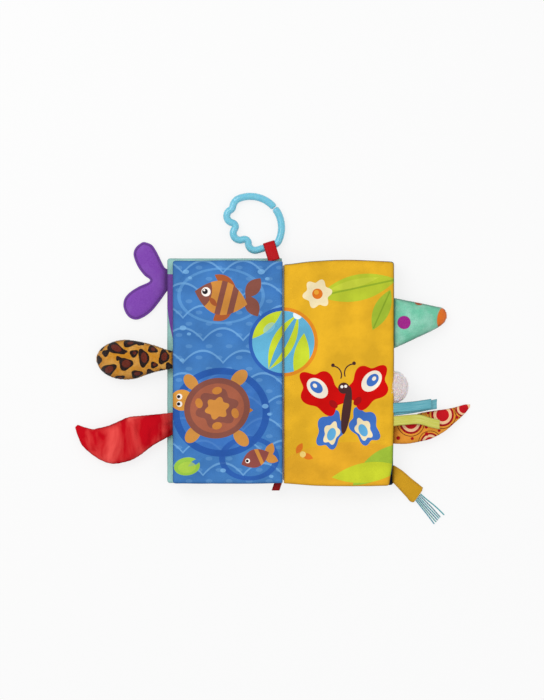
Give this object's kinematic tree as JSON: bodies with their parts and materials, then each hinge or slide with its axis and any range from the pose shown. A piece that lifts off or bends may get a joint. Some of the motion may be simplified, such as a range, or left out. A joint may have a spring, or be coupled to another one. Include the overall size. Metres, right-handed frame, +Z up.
{
  "type": "cloth book",
  "caption": "Soft cloth activity book, open at its middle, with padded pages, plush, felt and ribbon tails sewn into the edges, and a plastic clip ring on a ribbon loop.",
  "frame": {"origin": "on the table, in the middle of the gutter between the two halves of the open book", "axes": "+X to the reader's right, along the open book's width; +Y to the head of the pages, where the ring is; +Z up, out of the pages"},
  "size_m": [0.3965, 0.3326, 0.0228],
  "materials": {
    "teal_cotton": "printed cotton satin",
    "blue_print": "printed cotton satin",
    "amber_print": "printed cotton satin",
    "dark_cotton": "woven",
    "ocean_cotton": "printed cotton satin",
    "red_satin": "satin ribbon",
    "dark_red_satin": "satin ribbon",
    "purple_felt": "felt",
    "leopard_plush": "short plush with a spotted print",
    "red_velvet": "velvet",
    "blue_plastic": "glossy moulded",
    "mint_plush": "short plush",
    "white_fluff": "long fluffy pile",
    "blue_satin": "satin ribbon",
    "lime_satin": "satin ribbon",
    "orange_print": "printed cotton",
    "mustard_cotton": "cotton",
    "blue_cord": "twisted cord"
  },
  "bodies": {
    "front_half": {"front_cover": "teal_cotton", "left_leaves": "blue_print", "spine_cloth_front": "dark_cotton", "ring_loop": "red_satin", "foot_tag": "dark_red_satin", "whale_tail": "purple_felt", "leopard_tail": "leopard_plush", "red_tail": "red_velvet"},
    "back_half": {"back_cover": "ocean_cotton", "right_leaves": "amber_print", "spine_cloth_back": "dark_cotton", "mint_tail": "mint_plush", "pompom_tail": "white_fluff", "blue_ribbon_upper": "blue_satin", "blue_ribbon_lower": "blue_satin", "lime_ribbon": "lime_satin", "printed_tail": "orange_print", "mustard_tail": "mustard_cotton", "tassel_1": "blue_cord", "tassel_2": "blue_cord", "tassel_3": "blue_cord", "tassel_4": "blue_cord", "tassel_5": "blue_cord", "tassel_6": "blue_cord"},
    "ring": {"clip_ring": "blue_plastic"}
  },
  "joints": [
    {"name": "book_hinge", "type": "hinge", "parent": "front_half", "child": "back_half", "pos_m": [0, 0, 0.0231], "axis": [0, -1, 0], "range_deg": [0, 180]},
    {"name": "ring_swing", "type": "hinge", "parent": "front_half", "child": "ring", "pos_m": [-0.01344, 0.12604, 0.00485], "axis": [0.9563, 0.2924, 0], "range_deg": [0, 85]}
  ]
}
